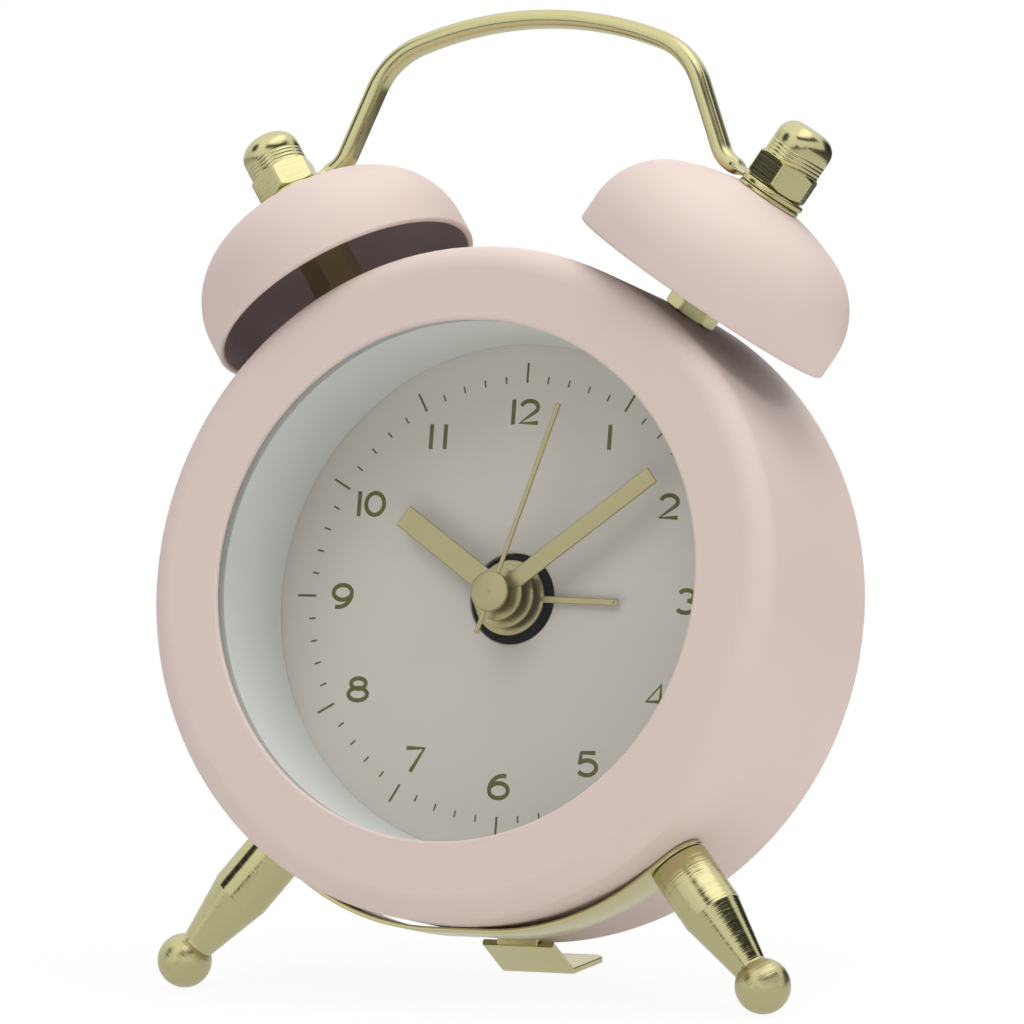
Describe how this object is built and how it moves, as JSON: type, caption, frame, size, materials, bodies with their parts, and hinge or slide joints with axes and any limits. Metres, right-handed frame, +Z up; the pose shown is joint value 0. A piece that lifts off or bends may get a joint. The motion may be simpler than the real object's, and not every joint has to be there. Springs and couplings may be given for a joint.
{
  "type": "twin-bell desk alarm clock",
  "caption": "Round twin-bell desk clock with a carrying handle, standing on ball-footed legs and a bent rear foot, with a quartz alarm movement inside.",
  "frame": {"origin": "centre of the standing clock's footprint box, on the floor", "axes": "+Z up, the dial faces -Y and leans back 14 degrees, +X to the right as the dial is read"},
  "size_m": [0.0612, 0.0369, 0.0868],
  "materials": {
    "case_paint": "powder-coated pink, satin",
    "gold": "champagne gold plating, polished",
    "hand_gold": "brushed pale gold",
    "dial_face": "greyish pink, satin",
    "ring_white": "smooth off-white",
    "lens_clear": "clear",
    "movement_black": "fine texture",
    "cover_pink": "fine texture",
    "gear_white": "moulded",
    "gear_brass": "cut",
    "steel": "plain",
    "copper_winding": "enamelled copper",
    "board_green": "solder mask",
    "chip_black": "epoxy"
  },
  "bodies": {
    "case": {"case_shell": "case_paint", "left_bell": "case_paint", "right_bell": "case_paint", "bell_posts": "gold", "handle": "gold", "handle_washers": "gold", "cap_nuts": "gold", "left_leg": "gold", "right_leg": "gold", "leg_band": "gold", "rear_foot": "gold", "dial": "dial_face", "inner_ring": "ring_white", "lens": "lens_clear", "movement_front": "movement_black", "movement_rear": "movement_black", "switch_body": "movement_black", "back_cover": "cover_pink", "coil_bobbin": "gear_white", "gear_bridge": "gear_white", "movement_screws": "steel", "motor_screws": "steel", "leg_screws": "steel", "bell_nuts": "steel", "bell_studs": "steel", "stator": "steel", "coil_core": "steel", "battery_cell": "steel", "negative_contact": "steel", "positive_contact": "steel", "crystal": "steel", "coil_winding": "copper_winding", "circuit_board": "board_green", "chip": "chip_black", "buzzer": "chip_black"},
    "minute_train": {"minute_hand": "hand_gold", "cannon_pinion": "gear_brass"},
    "hour_train": {"hour_hand": "hand_gold", "hour_wheel": "gear_white"},
    "time_setter": {"motion_wheel": "gear_brass", "time_knob": "cover_pink"},
    "second_train": {"second_hand": "hand_gold", "second_wheel": "gear_brass"},
    "third_arbor": {"third_wheel": "gear_white"},
    "centre_gear": {"centre_wheel": "gear_brass"},
    "intermediate_gear": {"intermediate_wheel": "gear_white"},
    "motor_rotor": {"rotor": "gear_white"},
    "alarm_train": {"alarm_hand": "hand_gold", "alarm_wheel": "gear_white"},
    "alarm_setter": {"alarm_arbor": "gear_brass", "alarm_knob": "cover_pink"},
    "switch_slider": {"alarm_switch": "movement_black"},
    "door": {"battery_door": "cover_pink"}
  },
  "joints": [
    {"name": "minute_spin", "type": "hinge", "parent": "case", "child": "minute_train", "pos_m": [0, -0.00181, 0.03509], "axis": [0, 0.9703, -0.2419], "continuous": true},
    {"name": "hour_spin", "type": "hinge", "parent": "case", "child": "hour_train", "pos_m": [0, -0.00181, 0.03509], "axis": [0, 0.9703, -0.2419], "continuous": true},
    {"name": "time_knob_spin", "type": "hinge", "parent": "case", "child": "time_setter", "pos_m": [0.0052, -0.00254, 0.03218], "axis": [0, 0.9703, -0.2419], "continuous": true},
    {"name": "second_spin", "type": "hinge", "parent": "case", "child": "second_train", "pos_m": [0, -0.00181, 0.03509], "axis": [0, 0.9703, -0.2419], "continuous": true},
    {"name": "third_spin", "type": "hinge", "parent": "case", "child": "third_arbor", "pos_m": [0, -0.00044, 0.04062], "axis": [0, 0.9703, -0.2419], "continuous": true},
    {"name": "centre_spin", "type": "hinge", "parent": "case", "child": "centre_gear", "pos_m": [0, -0.00181, 0.03509], "axis": [0, 0.9703, -0.2419], "continuous": true},
    {"name": "intermediate_spin", "type": "hinge", "parent": "case", "child": "intermediate_gear", "pos_m": [-0.00423, -0.00144, 0.03659], "axis": [0, 0.9703, -0.2419], "continuous": true},
    {"name": "rotor_spin", "type": "hinge", "parent": "case", "child": "motor_rotor", "pos_m": [-0.00843, -0.00144, 0.03659], "axis": [0, 0.9703, -0.2419], "continuous": true},
    {"name": "alarm_spin", "type": "hinge", "parent": "case", "child": "alarm_train", "pos_m": [0, -0.00181, 0.03509], "axis": [0, 0.9703, -0.2419], "continuous": true},
    {"name": "alarm_knob_spin", "type": "hinge", "parent": "case", "child": "alarm_setter", "pos_m": [-0.0052, -0.00254, 0.03218], "axis": [0, 0.9703, -0.2419], "continuous": true},
    {"name": "alarm_switch_slide", "type": "slide", "parent": "case", "child": "switch_slider", "axis": [1, 0, 0], "range_m": [0, 0.0024]},
    {"name": "battery_door_slide", "type": "slide", "parent": "case", "child": "door", "axis": [0, 0.9703, -0.2419], "range_m": [0, 0.006]}
  ],
  "couplings": [
    {"joint": "hour_spin", "follows": "minute_spin", "ratio": 0.083333},
    {"joint": "time_knob_spin", "follows": "minute_spin", "ratio": -0.33333},
    {"joint": "third_spin", "follows": "second_spin", "ratio": -0.125},
    {"joint": "centre_spin", "follows": "second_spin", "ratio": 0.016667},
    {"joint": "intermediate_spin", "follows": "second_spin", "ratio": -5},
    {"joint": "rotor_spin", "follows": "second_spin", "ratio": 30},
    {"joint": "alarm_knob_spin", "follows": "alarm_spin", "ratio": -4}
  ]
}
